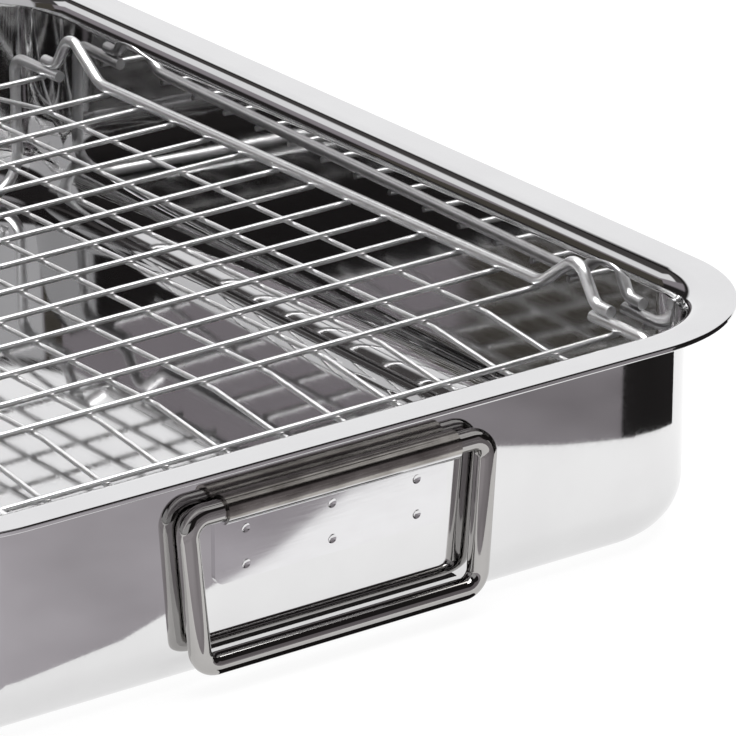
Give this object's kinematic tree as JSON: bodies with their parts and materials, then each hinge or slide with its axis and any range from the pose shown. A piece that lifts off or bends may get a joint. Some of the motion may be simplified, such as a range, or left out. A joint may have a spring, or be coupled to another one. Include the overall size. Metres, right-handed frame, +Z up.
{
  "type": "roasting pan with rack",
  "caption": "Rectangular steel roasting pan with a flat hemmed rim, folding wire bail handles on its end walls, and a lift-out wire rack on legs.",
  "frame": {"origin": "on the surface that the pan stands on, under the middle of the pan", "axes": "+X along the pan toward its front handle, +Y across the pan toward the long wall that the rack lies near, +Z up"},
  "size_m": [0.364, 0.27, 0.06],
  "materials": {
    "polished_steel": "mirror-polished stainless steel sheet",
    "bracket_steel": "polished plate, finely brushed on its rolled sleeve",
    "rod_steel": "bright polished stainless rod",
    "rack_frame_wire": "bright plated thick wire",
    "rack_grid_wire": "bright plated thin wire"
  },
  "bodies": {
    "pan": {"pan_body": "polished_steel", "handle_bracket_front": "bracket_steel", "handle_bracket_rear": "bracket_steel"},
    "front_bail": {"bail_handle_front": "rod_steel"},
    "rear_bail": {"bail_handle_rear": "rod_steel"},
    "rack": {"rack_side_rail_left": "rack_frame_wire", "rack_side_rail_right": "rack_frame_wire", "rack_leg_frame_front": "rack_frame_wire", "rack_leg_frame_rear": "rack_frame_wire", "rack_cross_wire_01": "rack_grid_wire", "rack_cross_wire_02": "rack_grid_wire", "rack_cross_wire_03": "rack_grid_wire", "rack_cross_wire_04": "rack_grid_wire", "rack_cross_wire_05": "rack_grid_wire", "rack_cross_wire_06": "rack_grid_wire", "rack_cross_wire_07": "rack_grid_wire", "rack_cross_wire_08": "rack_grid_wire", "rack_cross_wire_09": "rack_grid_wire", "rack_cross_wire_10": "rack_grid_wire", "rack_cross_wire_11": "rack_grid_wire", "rack_cross_wire_12": "rack_grid_wire", "rack_cross_wire_13": "rack_grid_wire", "rack_cross_wire_14": "rack_grid_wire", "rack_cross_wire_15": "rack_grid_wire", "rack_long_wire_01": "rack_grid_wire", "rack_long_wire_02": "rack_grid_wire", "rack_long_wire_03": "rack_grid_wire", "rack_long_wire_04": "rack_grid_wire", "rack_long_wire_05": "rack_grid_wire", "rack_long_wire_06": "rack_grid_wire", "rack_long_wire_07": "rack_grid_wire", "rack_long_wire_08": "rack_grid_wire", "rack_long_wire_09": "rack_grid_wire", "rack_long_wire_10": "rack_grid_wire"}
  },
  "joints": [
    {"name": "front_bail_hinge", "type": "hinge", "parent": "pan", "child": "front_bail", "pos_m": [0.17281, 0, 0.0462], "axis": [0, -1, 0], "range_deg": [-2, 128]},
    {"name": "rear_bail_hinge", "type": "hinge", "parent": "pan", "child": "rear_bail", "pos_m": [-0.17281, 0, 0.0462], "axis": [0, 1, 0], "range_deg": [-2, 128]},
    {"name": "rack_lift", "type": "slide", "parent": "pan", "child": "rack", "axis": [0, 0, 1], "range_m": [0, 0.12]}
  ]
}
